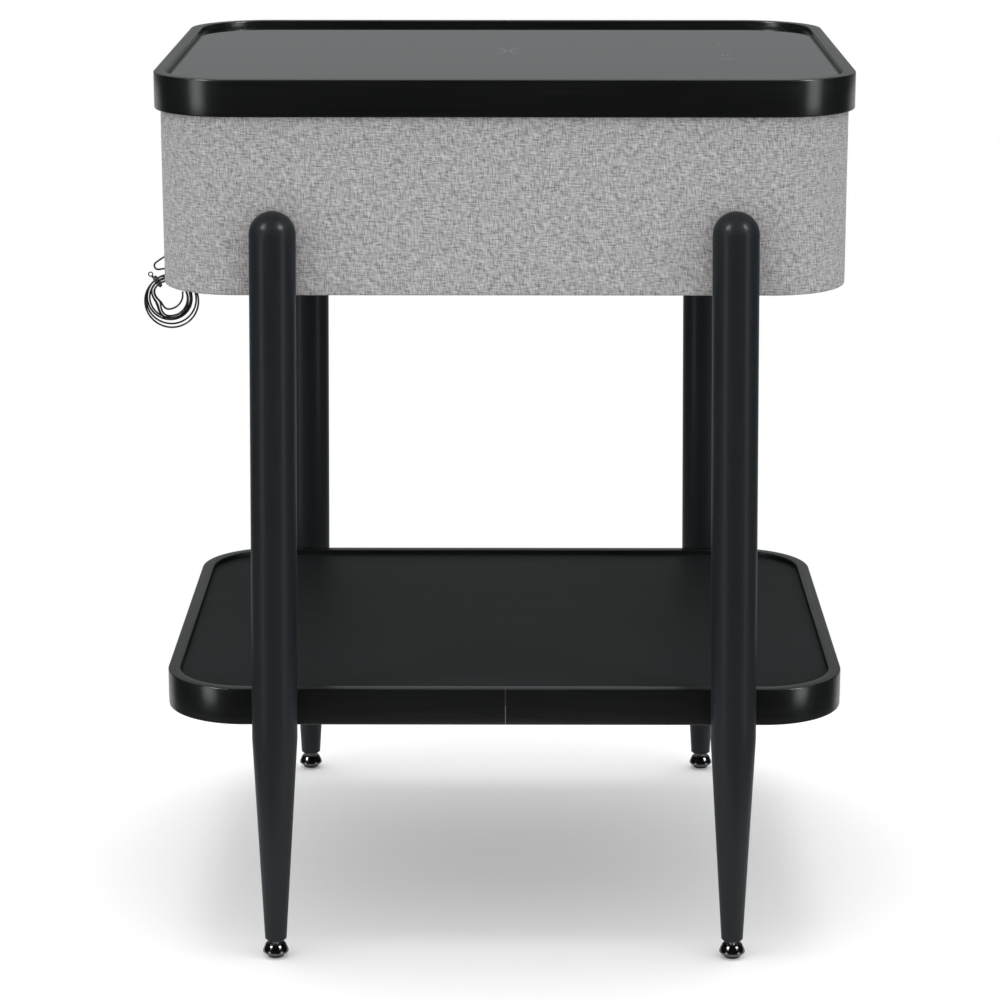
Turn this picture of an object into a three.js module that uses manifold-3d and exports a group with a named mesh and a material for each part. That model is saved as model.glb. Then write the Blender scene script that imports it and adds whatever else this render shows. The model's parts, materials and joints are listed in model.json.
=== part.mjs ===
// Side table: a glass-topped tray with a phone charger under it, a cloth-covered speaker drum,
// a lipped shelf and four splayed, tapered legs on levelling feet.
// Millimetres, Z up, the front faces -Y. The origin is on the floor under the middle of the table.

import * as THREE from "three";
import { mergeVertices } from "three/addons/utils/BufferGeometryUtils.js";
import Module from "manifold-3d";

const wasm = await Module();
wasm.setup();

// Plan shared by the tray and the shelf, and the overall height
const tableWidth = 500;
const tableDepth = 400;
const tableHeight = 643;
const cornerRadius = 60;
const seatGap = 0.3; // left between two pieces that touch
const cornerSteps = 12; // facets in a quarter turn of a large corner

// Tray: a bent strip round a board, with a glass sheet let in below its lip
const rimHeight = 26;
const rimWall = 9;
const stripEdgeRound = 0.8;
const stripSeamWidth = 0.4;
const stripSeamAcross = 1;
const topPanelThickness = 18;
const glassThickness = 4;
const glassEdgeBevel = 0.5;

// Phone charger in a blind pocket under the glass
const chargerAcross = 2.3;
const chargerAlong = 13;
const chargerRadius = 48;
const chargerWeb = 2; // board left above the pocket
const coilOuterRadius = 25;
const coilInnerRadius = 10;
const coilThickness = 1.4;
const ferriteRadius = 28;
const ferriteThickness = 1.1;
const boardThickness = 1.6;
const chargerBoardRadius = 32;
const chargerFlange = 7;
const chargerFlangeThickness = 2;
const chargerCoverWall = 2;

// Touch keys under the glass
const touchSetIn = 85; // from the table's right side to the board's middle
const touchAlong = 10.7;
const touchBoardWidth = 22;
const touchBoardLength = 126;
const touchSlotWidth = 8;
const touchSlotLength = 16;

// Drum: a bent wall wrapped in cloth, with a board let in below
const drumHeight = 127;
const drumInset = 4.5;
const drumWall = 9;
const clothThickness = 0.8;
const clothHem = 12;
const drumFloorThickness = 9;
const drumFloorLift = 6;
const blockSection = 20;
const blockFromBolt = 6.5;

// Loudspeakers behind the front wall
const driverSpacing = 170;
const driverLift = 65; // height of a driver's axis over the drum's lower edge
const soundHoleRadius = 34;
const basketFlangeRadius = 44;
const basketFlangeThickness = 3;
const basketThroatRadius = 33;
const basketDepth = 20;
const magnetRadius = 27;
const magnetDepth = 37;
const poleRadius = 9.2;
const voiceGapRadius = 11.2;
const voiceGapFloor = 33.5;
const coneRadius = 27.5;
const coneThickness = 0.9;
const formerRadius = 10.4;
const formerWall = 0.7;
const formerLength = 30;
const surroundThickness = 0.6;
const basketWindowRadius = 5.5;
const basketWindows = 4;
const driverFacets = 16;

// Amplifier and its power socket, on the drum's floor
const amplifierWidth = 110;
const amplifierDepth = 80;
const standoffHeight = 8;
const standoffRadius = 3;
const heatSinkWidth = 44;
const heatSinkDepth = 20;
const heatSinkHeight = 16;
const heatSinkFins = 6;
const finWidth = 3.4;
const inletSetIn = 100; // from the table's right side
const inletFromBack = 50;
const inletBodyRadius = 5.5;
const inletFlangeRadius = 7.5;
const inletFlangeThickness = 1.8;
const inletDepth = 18;
const inletBoreRadius = 2.75;
const inletBoreDepth = 10;
const inletPinRadius = 1;

// Shelf: the same bent strip round a thinner board
const shelfTopHeight = 200;
const shelfStripHeight = 27;
const shelfPanelThickness = 12;
const shelfRecess = 3.5;

// Legs: turned, domed and tapered, let into the drum and the shelf by shallow flats
const legRadius = 16.5;
const legSetIn = 87.5; // from the table's side to the leg's axis, at the dome
const legDomeDrop = 107; // from the table's top to the centre of the dome
const legFlatDepth = 3.5; // how far the drum lies inside the leg, at the dome
const legSplayAcross = 5.5;
const legSplayAway = 8.5;
const legTaperHeight = 168;
const legEndHeight = 13.5;
const legEndRadius = 7.9;
const legEndChamfer = 0.8;
const legFacets = 18;
const domeSteps = 5;

// Bolts: two through the drum's wall and one through the shelf's strip, into each leg
const boltRadius = 3;
const boltClearance = 0.3;
const boltGrip = 14;
const boltHeadRadius = 5.5;
const boltHeadHeight = 3.5;
const boltSocketRadius = 2.3;
const boltSocketDepth = 2;
const drumBoltRise = 23;
const drumBoltSpacing = 25;
const shelfBoltRadius = 2.5;
const shelfBoltHeadRadius = 4.6;
const shelfBoltDrop = 5.9; // below the shelf's board
const boltFacets = 8;

// Levelling feet, a 6 mm screw in a threaded insert
const screwRadius = 3;
const screwClearance = 0.1;
const screwTopHeight = 32;
const screwChamfer = 0.8;
const insertRadius = 5;
const insertLength = 20;
const screwBoreDepth = 40;
const padRadius = 5.9;
const padShoulderRadius = 6.8;
const padHeight = 1.9;
const capRadius = 9.3;
const capUndersideRadius = 7.3;
const capNeckRadius = 4.8;
const capWideHeight = 4.4;
const capHeight = 10.5;
const capSocketFloor = 1.3;
const swivelClearance = 0.15;
const footFacets = 16;

// Wire aerial: a gland in the drum's left wall, a short lead and a tied coil
const wireRadius = 0.7;
const glandAlong = -60;
const glandLift = 7; // over the drum's lower edge
const glandBodyRadius = 3.2;
const glandFlangeRadius = 5;
const glandFlangeThickness = 1.6;
const glandNoseLength = 2.6;
const glandNoseRadius = 1.7;
const coilStandOut = 1; // its middle, beyond the table's left side
const coilDrop = 34; // its middle, below the gland
const coilRadius = 15; // of its middle layer
const coilTurns = 7.7;
const coilPitch = 2; // of the turns in the tie
const coilSpread = 0.55; // how much the turns open out opposite the tie
const coilTuckAt = 0.22; // where the inner turns tuck in most, in turns past the tie
const coilTuckSpan = 0.17;
const coilStartAngle = THREE.MathUtils.degToRad(125);
const coilStepsPerTurn = 24;
const coilStub = 2.5;
const wireFacets = 6;
const tieInnerRadius = 3.9;
const tieWall = 0.9;
const tieLength = 2.2;

// Heights and half sizes that follow from the sizes above
const rimBottom = tableHeight - rimHeight;
const panelBottom = rimBottom;
const panelTop = panelBottom + topPanelThickness;
const glassBottom = panelTop + seatGap;
const drumTop = rimBottom - seatGap;
const drumBottom = rimBottom - drumHeight;
const shellBottom = drumBottom + clothThickness + seatGap;
const shellInset = drumInset + clothThickness + seatGap;
const floorBottom = drumBottom + drumFloorLift;
const floorTop = floorBottom + drumFloorThickness;
const shellInnerAway = tableDepth / 2 - shellInset - drumWall;
const driverHeight = drumBottom + driverLift;
const shelfPanelTop = shelfTopHeight - shelfRecess;
const shelfPanelBottom = shelfPanelTop - shelfPanelThickness;
const shelfStripBottom = shelfTopHeight - shelfStripHeight;
const touchAcross = tableWidth / 2 - touchSetIn;
const inletAcross = tableWidth / 2 - inletSetIn;
const inletAlong = tableDepth / 2 - inletFromBack;
const legDomeHeight = tableHeight - legDomeDrop;
const legTopAcross = tableWidth / 2 - legSetIn;
const legTopAway = tableDepth / 2 - drumInset + legRadius - legFlatDepth;
const legFootAcross = legTopAcross + legSplayAcross;
const legFootAway = legTopAway + legSplayAway;
const glandHeight = drumBottom + glandLift;
const coilAcross = -tableWidth / 2 - coilStandOut;
const coilHeight = glandHeight - coilDrop;

// Colours, roughness and metalness as the photograph shows them
const finish = (color, roughness, metalness = 0) =>
  new THREE.MeshStandardMaterial({ color, roughness, metalness });
const looks = {
  strip: () => finish("#141414", 0.42),
  board: () => finish("#1b1b1b", 0.5),
  rawBoard: () => finish("#8a6f50", 0.85),
  glass: () => finish("#0c0d0d", 0.05),
  cloth: () => finish("#9d9b98", 0.95),
  leg: () => finish("#24282c", 0.45),
  steel: () => finish("#6f7173", 0.3, 0.9),
  polishedSteel: () => finish("#3a3b3d", 0.12, 0.95),
  brass: () => finish("#a98546", 0.35, 0.9),
  plastic: () => finish("#121212", 0.5),
  wire: () => finish("#0d0d0e", 0.4),
  circuit: () => finish("#1f4a33", 0.5),
  copper: () => finish("#9a5a33", 0.35, 0.8),
  paper: () => finish("#2a2a2a", 0.9),
  rubber: () => finish("#171717", 0.8),
};

const table = new THREE.Group();

function addPiece(name, geometry, material, parent = table) {
  const mesh = new THREE.Mesh(geometry, material);
  mesh.name = name;
  parent.add(mesh);
  return mesh;
}

// A closed three.js geometry as a solid that can be cut and joined, and back
function solidFrom(geometry) {
  const plain = geometry.index ? geometry.toNonIndexed() : geometry.clone();
  for (const name of Object.keys(plain.attributes)) {
    if (name !== "position") plain.deleteAttribute(name);
  }
  const merged = mergeVertices(plain, 1e-4);
  return new wasm.Manifold(
    new wasm.Mesh({
      numProp: 3,
      vertProperties: merged.attributes.position.array,
      triVerts: new Uint32Array(merged.index.array),
    }),
  );
}

function geometryFrom(solid) {
  const { vertProperties, triVerts } = solid.getMesh();
  const geometry = new THREE.BufferGeometry();
  geometry.setAttribute("position", new THREE.BufferAttribute(vertProperties, 3));
  geometry.setIndex(new THREE.BufferAttribute(triVerts, 1));
  geometry.computeVertexNormals();
  return geometry;
}

function cutFrom(body, ...tools) {
  return geometryFrom(
    tools.reduce((solid, tool) => solid.subtract(solidFrom(tool)), solidFrom(body)),
  );
}

function joined(...pieces) {
  return geometryFrom(pieces.map(solidFrom).reduce((whole, piece) => whole.add(piece)));
}

// The table's plan drawn in by inset, as a rectangle with round corners
function plan(inset, PathType = THREE.Shape) {
  const halfWidth = tableWidth / 2 - inset;
  const halfDepth = tableDepth / 2 - inset;
  const radius = Math.max(cornerRadius - inset, 1);
  const path = new PathType();
  const corners = [
    [halfWidth - radius, halfDepth - radius],
    [radius - halfWidth, halfDepth - radius],
    [radius - halfWidth, radius - halfDepth],
    [halfWidth - radius, radius - halfDepth],
  ];
  corners.forEach(([x, y], quarter) => {
    const start = (quarter * Math.PI) / 2;
    path.absarc(x, y, radius, start, start + Math.PI / 2, false);
  });
  path.closePath();
  return path;
}

function ring(outerInset, innerInset) {
  const shape = plan(outerInset);
  shape.holes.push(plan(innerInset, THREE.Path));
  return shape;
}

// A shape as a plate from one height to another, with its edges eased by round
function plate(shape, bottom, top, round = 0) {
  const geometry = new THREE.ExtrudeGeometry(shape, {
    depth: top - bottom - 2 * round,
    curveSegments: cornerSteps / 2, // an arc gets two facets a segment
    bevelEnabled: round > 0,
    bevelThickness: round,
    bevelSize: round,
    bevelOffset: -round,
    bevelSegments: 1,
  });
  return geometry.translate(0, 0, bottom + round);
}

function box(width, depth, bottom, top, x = 0, y = 0) {
  return new THREE.BoxGeometry(width, depth, top - bottom).translate(x, y, (top + bottom) / 2);
}

// A turned piece about Z: its profile is [radius, height] points, from the lower end up the outside
function turned(profile, facets) {
  const points = profile.map(([radius, height]) => new THREE.Vector2(radius, height));
  return new THREE.LatheGeometry(points, facets).rotateX(Math.PI / 2);
}

function rod(radius, bottom, top, facets = footFacets) {
  return turned([[0, bottom], [radius, bottom], [radius, top], [0, top]], facets);
}

// A rod that lies along Y, from one distance to another, at a place across and up
function rodAway(radius, from, to, x, z, facets = boltFacets) {
  const [low, high] = [Math.min(from, to), Math.max(from, to)];
  return rod(radius, low, high, facets).rotateX(-Math.PI / 2).translate(x, 0, z);
}

// The four corners, each with the way it lies from the middle
const legPlaces = [
  { name: "front_left", across: -1, away: -1 },
  { name: "front_right", across: 1, away: -1 },
  { name: "back_left", across: -1, away: 1 },
  { name: "back_right", across: 1, away: 1 },
];

// The leg's axis leans, so its distance from the middle depends on the height
const legLean = (height) => 1 - height / legDomeHeight;
const legAcross = (height) => legTopAcross + legSplayAcross * legLean(height);
const legAway = (height) => legTopAway + legSplayAway * legLean(height);

const drumBoltHeights = {
  lower: drumBottom + drumBoltRise,
  upper: drumBottom + drumBoltRise + drumBoltSpacing,
};
const shelfBoltHeight = shelfPanelBottom - shelfBoltDrop;

// Tray
function makeTray() {
  const seam = box(stripSeamWidth, rimWall + 2, rimBottom - 1, tableHeight + 1, stripSeamAcross);
  seam.translate(0, tableDepth / 2 - rimWall / 2, 0);
  const rim = plate(ring(0, rimWall), rimBottom, tableHeight, stripEdgeRound);
  addPiece("top_rim", cutFrom(rim, seam), looks.strip());

  const panelInset = rimWall + seatGap;
  const chargerPocket = rod(chargerRadius, panelBottom - 1, panelTop - chargerWeb, driverFacets);
  chargerPocket.translate(chargerAcross, chargerAlong, 0);
  const touchPocket = box(
    touchBoardWidth + 2 * seatGap,
    touchBoardLength + 2 * seatGap,
    panelTop - boardThickness - seatGap,
    panelTop + 1,
    touchAcross,
    touchAlong,
  );
  const touchSlot = box(
    touchSlotWidth, touchSlotLength, panelBottom - 1, panelTop, touchAcross, touchAlong,
  );
  const panel = plate(plan(panelInset), panelBottom, panelTop);
  addPiece("top_panel", cutFrom(panel, chargerPocket, touchPocket, touchSlot), looks.rawBoard());

  const glass = plate(plan(panelInset), glassBottom, glassBottom + glassThickness, glassEdgeBevel);
  addPiece("glass_top", glass, looks.glass());

  const touchBoard = box(
    touchBoardWidth, touchBoardLength, panelTop - boardThickness, panelTop, touchAcross, touchAlong,
  );
  addPiece("touch_board", touchBoard, looks.circuit());
}

// Charger: the coil on its ferrite plate, its board and the cover that holds them in the pocket
function makeCharger() {
  const charger = new THREE.Group();
  charger.position.set(chargerAcross, chargerAlong, 0);
  table.add(charger);

  const coilTop = panelTop - chargerWeb - seatGap;
  const ferriteTop = coilTop - coilThickness;
  const ferriteBottom = ferriteTop - ferriteThickness;
  const winding = turned(
    [
      [coilInnerRadius, ferriteTop - ferriteThickness / 2],
      [coilOuterRadius, ferriteTop - ferriteThickness / 2],
      [coilOuterRadius, coilTop],
      [coilInnerRadius, coilTop],
      [coilInnerRadius, ferriteTop - ferriteThickness / 2],
    ],
    footFacets,
  );
  const ferrite = rod(ferriteRadius, ferriteBottom, ferriteTop);
  addPiece("charging_coil", joined(ferrite, winding), looks.copper(), charger);

  const boardTop = ferriteBottom - seatGap;
  const boardBottom = boardTop - boardThickness;
  addPiece("charger_board", rod(chargerBoardRadius, boardBottom, boardTop), looks.circuit(), charger);

  const coverTop = boardBottom - seatGap;
  const coverRadius = chargerRadius - seatGap;
  const flangeTop = panelBottom - seatGap;
  const flangeBottom = flangeTop - chargerFlangeThickness;
  const cover = turned(
    [
      [0, coverTop - chargerCoverWall],
      [coverRadius - chargerCoverWall, coverTop - chargerCoverWall],
      [coverRadius - chargerCoverWall, flangeBottom],
      [coverRadius + chargerFlange, flangeBottom],
      [coverRadius + chargerFlange, flangeTop],
      [coverRadius, flangeTop],
      [coverRadius, coverTop],
      [0, coverTop],
    ],
    driverFacets,
  );
  addPiece("charger_cover", cover, looks.plastic(), charger);
}

// Drum: the wall, the cloth that wraps it and turns under it, the floor and its screw blocks
function makeDrum() {
  const boltHoles = [];
  for (const { across, away } of legPlaces) {
    for (const height of Object.values(drumBoltHeights)) {
      boltHoles.push(
        rodAway(
          boltRadius + boltClearance,
          away * (shellInnerAway - 2),
          away * (tableDepth / 2),
          across * legAcross(height),
          height,
        ),
      );
    }
  }
  const glandHole = rod(glandBodyRadius + seatGap, -tableWidth / 2, -tableWidth / 2 + 30, boltFacets)
    .rotateY(Math.PI / 2)
    .translate(0, glandAlong, glandHeight);
  const soundHoles = [-1, 1].map((side) =>
    rodAway(
      soundHoleRadius,
      -tableDepth / 2,
      2 - shellInnerAway,
      (side * driverSpacing) / 2,
      driverHeight,
      driverFacets,
    ),
  );

  const wall = plate(ring(shellInset, shellInset + drumWall), shellBottom, drumTop);
  addPiece("drum_shell", cutFrom(wall, glandHole, ...soundHoles, ...boltHoles), looks.rawBoard());

  const sleeve = plate(ring(drumInset, drumInset + clothThickness), drumBottom, drumTop);
  const hem = plate(ring(drumInset, drumInset + clothHem), drumBottom, drumBottom + clothThickness);
  addPiece("drum_cloth", cutFrom(joined(sleeve, hem), glandHole, ...boltHoles), looks.cloth());

  const inletHole = rod(inletBodyRadius + seatGap, floorBottom - 1, floorTop + 1);
  inletHole.translate(inletAcross, inletAlong, 0);
  const floor = plate(plan(shellInset + drumWall + seatGap), floorBottom, floorTop);
  addPiece("drum_floor", cutFrom(floor, inletHole), looks.board());

  for (const { name, across, away } of legPlaces) {
    const block = box(blockSection, blockSection, floorTop + seatGap, panelBottom - seatGap);
    const blockAcross = legAcross(drumBoltHeights.lower) + blockFromBolt + blockSection / 2;
    const piece = addPiece(`${name}_screw_block`, block, looks.rawBoard());
    piece.position.x = across * blockAcross;
    piece.position.y = away * (shellInnerAway - seatGap - blockSection / 2);
  }
}

// Loudspeaker: basket with its magnet, moving cone and rolled surround.
// Its own Z is its axis, forward, and its zero is the flange's front face.
function makeDriver(side, name) {
  const driver = new THREE.Group();
  driver.position.set((side * driverSpacing) / 2, seatGap - shellInnerAway, driverHeight);
  driver.rotation.x = Math.PI / 2;
  table.add(driver);

  const backPlate = -basketDepth - basketFlangeThickness;
  const basket = turned(
    [
      [0, -magnetDepth],
      [magnetRadius, -magnetDepth],
      [magnetRadius, backPlate],
      [basketThroatRadius + 4, -basketFlangeThickness],
      [basketFlangeRadius, -basketFlangeThickness],
      [basketFlangeRadius, 0],
      [basketThroatRadius, 0],
      [basketThroatRadius, -basketFlangeThickness],
      [magnetRadius - 2.5, -basketDepth],
      [voiceGapRadius, -basketDepth],
      [voiceGapRadius, -voiceGapFloor],
      [poleRadius, -voiceGapFloor],
      [poleRadius, 1 - basketDepth],
      [0, 1 - basketDepth],
    ],
    driverFacets,
  );
  const windows = [];
  for (let step = 0; step < basketWindows; step++) {
    windows.push(
      rod(basketWindowRadius, magnetRadius - 6, basketFlangeRadius, boltFacets)
        .rotateY(Math.PI / 2)
        .translate(0, 0, -basketDepth / 2 - basketFlangeThickness / 2)
        .rotateZ(Math.PI / basketWindows + (step * 2 * Math.PI) / basketWindows),
    );
  }
  addPiece(`${name}_driver_basket`, cutFrom(basket, ...windows), looks.steel(), driver);

  const coneFront = -3.4;
  const coneNeck = -14.6;
  const capFront = -11;
  const cone = turned(
    [
      [0, capFront - coneThickness],
      [formerRadius / 2, capFront - coneThickness - 0.7],
      [formerRadius - formerWall, coneNeck - coneThickness],
      [formerRadius - formerWall, -formerLength],
      [formerRadius, -formerLength],
      [formerRadius, coneNeck - coneThickness],
      [coneRadius, coneFront - coneThickness],
      [coneRadius, coneFront],
      [formerRadius, coneNeck + 0.4],
      [formerRadius / 2, capFront - 0.7],
      [0, capFront],
    ],
    driverFacets,
  );
  addPiece(`${name}_driver_cone`, cone, looks.paper(), driver);

  const rollInner = coneRadius + seatGap;
  const rollOuter = basketThroatRadius - 3 * seatGap;
  const rollMiddle = (rollInner + rollOuter) / 2;
  const rollRadius = (rollOuter - rollInner) / 2;
  const roll = [];
  const rollSteps = 5;
  const rollPoint = (radius, step) => {
    const angle = (Math.PI * step) / rollSteps;
    return [rollMiddle + radius * Math.cos(angle), coneFront - coneThickness / 2 + radius * Math.sin(angle)];
  };
  for (let step = 0; step <= rollSteps; step++) roll.push(rollPoint(rollRadius, step));
  for (let step = rollSteps; step >= 0; step--) roll.push(rollPoint(rollRadius - surroundThickness, step));
  roll.push(roll[0]);
  addPiece(`${name}_driver_surround`, turned(roll, driverFacets), looks.rubber(), driver);
}

// Amplifier on its standoffs, with a finned heat sink and two capacitors
function makeAmplifier() {
  const boardBottom = floorTop + seatGap + standoffHeight;
  const boardTop = boardBottom + boardThickness;
  const parts = [box(amplifierWidth, amplifierDepth, boardBottom, boardTop)];
  for (const { across, away } of legPlaces) {
    const standoff = rod(standoffRadius, floorTop + seatGap, boardBottom + boardThickness / 2, boltFacets);
    const inFromEdge = 2 * standoffRadius;
    standoff.translate(
      across * (amplifierWidth / 2 - inFromEdge), away * (amplifierDepth / 2 - inFromEdge), 0,
    );
    parts.push(standoff);
  }
  const sinkBase = boardTop + heatSinkHeight / 4;
  parts.push(box(heatSinkWidth, heatSinkDepth, boardTop - boardThickness / 2, sinkBase));
  const finStep = (heatSinkWidth - finWidth) / (heatSinkFins - 1);
  for (let fin = 0; fin < heatSinkFins; fin++) {
    const x = fin * finStep - (heatSinkWidth - finWidth) / 2;
    parts.push(box(finWidth, heatSinkDepth, sinkBase - 1, boardTop + heatSinkHeight, x));
  }
  const capacitorRadius = 6;
  const capacitorFoot = boardTop - boardThickness / 2;
  for (const side of [-1, 1]) {
    const capacitor = rod(capacitorRadius, capacitorFoot, boardTop + heatSinkHeight, boltFacets);
    parts.push(capacitor.translate(side * 3 * capacitorRadius, -amplifierDepth / 3, 0));
  }
  addPiece("amplifier_board", joined(...parts), looks.circuit());
}

// Power socket in the drum's floor, its mouth downwards
function makeInlet() {
  const flangeTop = floorBottom - seatGap;
  const mouth = flangeTop - inletFlangeThickness;
  const boreTop = mouth + inletBoreDepth;
  const inlet = turned(
    [
      [0, boreTop - inletBoreDepth * 0.9],
      [inletPinRadius, boreTop - inletBoreDepth * 0.9],
      [inletPinRadius, boreTop],
      [inletBoreRadius, boreTop],
      [inletBoreRadius, mouth],
      [inletFlangeRadius, mouth],
      [inletFlangeRadius, flangeTop],
      [inletBodyRadius, flangeTop],
      [inletBodyRadius, mouth + inletDepth],
      [0, mouth + inletDepth],
    ],
    footFacets,
  );
  addPiece("dc_inlet", inlet, looks.plastic()).position.set(inletAcross, inletAlong, 0);
}

// Shelf: its strip closes on itself at a butt seam in the middle of the front
function makeShelf() {
  const boltHoles = legPlaces.map(({ across, away }) =>
    rodAway(
      shelfBoltRadius + boltClearance,
      away * (tableDepth / 2 - rimWall - 2),
      away * (tableDepth / 2 + 2),
      across * legAcross(shelfBoltHeight),
      shelfBoltHeight,
    ),
  );
  const seam = box(
    stripSeamWidth, rimWall + 2, shelfStripBottom - 1, shelfTopHeight + 1, stripSeamAcross,
  ).translate(0, rimWall / 2 - tableDepth / 2, 0);
  const strip = plate(ring(0, rimWall), shelfStripBottom, shelfTopHeight, stripEdgeRound);
  addPiece("shelf_band", cutFrom(strip, seam, ...boltHoles), looks.strip());
  const panel = plate(plan(rimWall + seatGap), shelfPanelBottom, shelfPanelTop);
  addPiece("shelf_panel", panel, looks.board());
}

// Leg: a turned post on a leaning axis, flattened where the drum and the shelf lie against it,
// cut level below and bored for its bolts and its foot
function makeLeg({ name, across, away }) {
  const lowEnd = -20; // the post runs on below and is cut level at the leg's end
  const taper = (legRadius - legEndRadius) / (legTaperHeight - legEndHeight);
  const lowRadius = legEndRadius - taper * (legEndHeight - lowEnd);
  const profile = [[0, lowEnd], [lowRadius, lowEnd], [legRadius, legTaperHeight]];
  for (let step = 0; step <= domeSteps; step++) {
    const angle = (Math.PI / 2) * (step / domeSteps);
    profile.push([
      step === domeSteps ? 0 : legRadius * Math.cos(angle),
      legDomeHeight + legRadius * Math.sin(angle),
    ]);
  }
  const axis = new THREE.Vector3(-across * legSplayAcross, -away * legSplayAway, legDomeHeight);
  const lean = new THREE.Quaternion().setFromUnitVectors(
    new THREE.Vector3(0, 0, 1), axis.normalize(),
  );
  const post = turned(profile, legFacets)
    .applyQuaternion(lean)
    .translate(across * legFootAcross, away * legFootAway, 0);

  const drumFlat = plate(plan(drumInset - seatGap), drumBottom - seatGap, tableHeight);
  const shelfFlat = plate(plan(-seatGap), shelfStripBottom - seatGap, shelfTopHeight + seatGap);
  const footAcross = across * legFootAcross;
  const footAway = away * legFootAway;
  const level = box(4 * legRadius, 4 * legRadius, lowEnd - 10, legEndHeight, footAcross, footAway);
  // What the chamfered end keeps: everything outside this cone comes off
  const endSleeve = turned(
    [
      [legEndRadius - legEndChamfer, legEndHeight - 1],
      [3 * legRadius, legEndHeight - 1],
      [3 * legRadius, legEndHeight + legEndChamfer],
      [legEndRadius + 0.1, legEndHeight + legEndChamfer],
      [legEndRadius - legEndChamfer, legEndHeight],
      [legEndRadius - legEndChamfer, legEndHeight - 1],
    ],
    legFacets,
  ).translate(footAcross, footAway, 0);
  const insertPocket = rod(insertRadius + seatGap, lowEnd, legEndHeight + insertLength + seatGap);
  const screwPocket = rod(screwRadius + 2 * seatGap, lowEnd, legEndHeight + screwBoreDepth);
  for (const pocket of [insertPocket, screwPocket]) pocket.translate(footAcross, footAway, 0);

  const drumFace = tableDepth / 2 - drumInset + seatGap;
  const boltHoles = Object.values(drumBoltHeights).map((height) =>
    rodAway(
      boltRadius + boltClearance,
      away * (drumFace - 2),
      away * (drumFace + boltGrip + seatGap),
      across * legAcross(height),
      height,
    ),
  );
  const shelfFace = tableDepth / 2 + seatGap;
  boltHoles.push(
    rodAway(
      shelfBoltRadius + boltClearance,
      away * (shelfFace - 2),
      away * (shelfFace + boltGrip + seatGap),
      across * legAcross(shelfBoltHeight),
      shelfBoltHeight,
    ),
  );
  const leg = cutFrom(
    post, drumFlat, shelfFlat, level, endSleeve, insertPocket, screwPocket, ...boltHoles,
  );
  addPiece(`${name}_leg`, leg, looks.leg());
}

// A button-head bolt about its own Z: its head's underside is at zero, its shank points up
function boltGeometry(radius, headRadius, length) {
  const body = turned(
    [
      [0, -boltHeadHeight],
      [headRadius * 0.6, -boltHeadHeight],
      [headRadius * 0.9, -boltHeadHeight * 0.6],
      [headRadius, 0],
      [radius, 0],
      [radius, length - screwChamfer],
      [radius - screwChamfer, length],
      [0, length],
    ],
    boltFacets,
  );
  const socket = rod(boltSocketRadius, -boltHeadHeight - 1, boltSocketDepth - boltHeadHeight, 6);
  return cutFrom(body, socket);
}

function makeBolts({ name, across, away }) {
  const place = (piece, height, headAway) => {
    piece.rotation.x = (-away * Math.PI) / 2;
    piece.position.set(across * legAcross(height), away * headAway, height);
  };
  const drumHead = shellInnerAway - seatGap;
  const drumLength = tableDepth / 2 - drumInset + seatGap + boltGrip - drumHead;
  for (const [level, height] of Object.entries(drumBoltHeights)) {
    const bolt = boltGeometry(boltRadius, boltHeadRadius, drumLength);
    place(addPiece(`${name}_drum_bolt_${level}`, bolt, looks.steel()), height, drumHead);
  }
  const shelfHead = tableDepth / 2 - rimWall - seatGap;
  const shelfLength = tableDepth / 2 + seatGap + boltGrip - shelfHead;
  const bolt = boltGeometry(shelfBoltRadius, shelfBoltHeadRadius, shelfLength);
  place(addPiece(`${name}_shelf_bolt`, bolt, looks.steel()), shelfBoltHeight, shelfHead);
}

// Levelling foot: the insert in the leg, the screw, the polished domed cap and its pad
function makeFoot({ name, across, away }) {
  const foot = new THREE.Group();
  foot.position.set(across * legFootAcross, away * legFootAway, 0);
  table.add(foot);

  const boreRadius = screwRadius + screwClearance;
  const insert = turned(
    [
      [boreRadius, legEndHeight],
      [insertRadius, legEndHeight],
      [insertRadius, legEndHeight + insertLength],
      [boreRadius, legEndHeight + insertLength],
      [boreRadius, legEndHeight],
    ],
    footFacets,
  );
  addPiece(`${name}_leg_insert`, insert, looks.brass(), foot);

  const capBottom = padHeight + seatGap;
  const socketFloor = capBottom + capSocketFloor;
  const screw = turned(
    [
      [0, socketFloor + seatGap],
      [screwRadius, socketFloor + seatGap],
      [screwRadius, screwTopHeight - screwChamfer],
      [screwRadius - screwChamfer, screwTopHeight],
      [0, screwTopHeight],
    ],
    footFacets,
  );
  addPiece(`${name}_foot_screw`, screw, looks.steel(), foot);

  const socketRadius = screwRadius + swivelClearance;
  const cap = turned(
    [
      [0, capBottom],
      [capUndersideRadius, capBottom],
      [capRadius - 0.6, capWideHeight - 1.3],
      [capRadius, capWideHeight],
      [capRadius - 0.4, capWideHeight + 1.4],
      [capRadius - 1.2, capWideHeight + 2.7],
      [capRadius - 2.3, capWideHeight + 4],
      [capRadius - 3.4, capWideHeight + 5.2],
      [capNeckRadius, capHeight],
      [socketRadius, capHeight],
      [socketRadius, socketFloor],
      [0, socketFloor],
    ],
    footFacets,
  );
  addPiece(`${name}_foot_cap`, cap, looks.polishedSteel(), foot);

  const pad = turned(
    [
      [0, 0],
      [padRadius, 0],
      [padShoulderRadius, padHeight / 2],
      [padShoulderRadius, padHeight],
      [0, padHeight],
    ],
    footFacets,
  );
  addPiece(`${name}_foot_pad`, pad, looks.plastic(), foot);
}

// Where the turns of the aerial lie in its tied bundle: a three by three pack, layer by layer
const bundleOrder = [
  [1, -1], [1, 0], [1, 1],
  [0, 1], [0, 0], [0, -1],
  [-1, -1], [-1, 0], [-1, 1],
];
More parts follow.
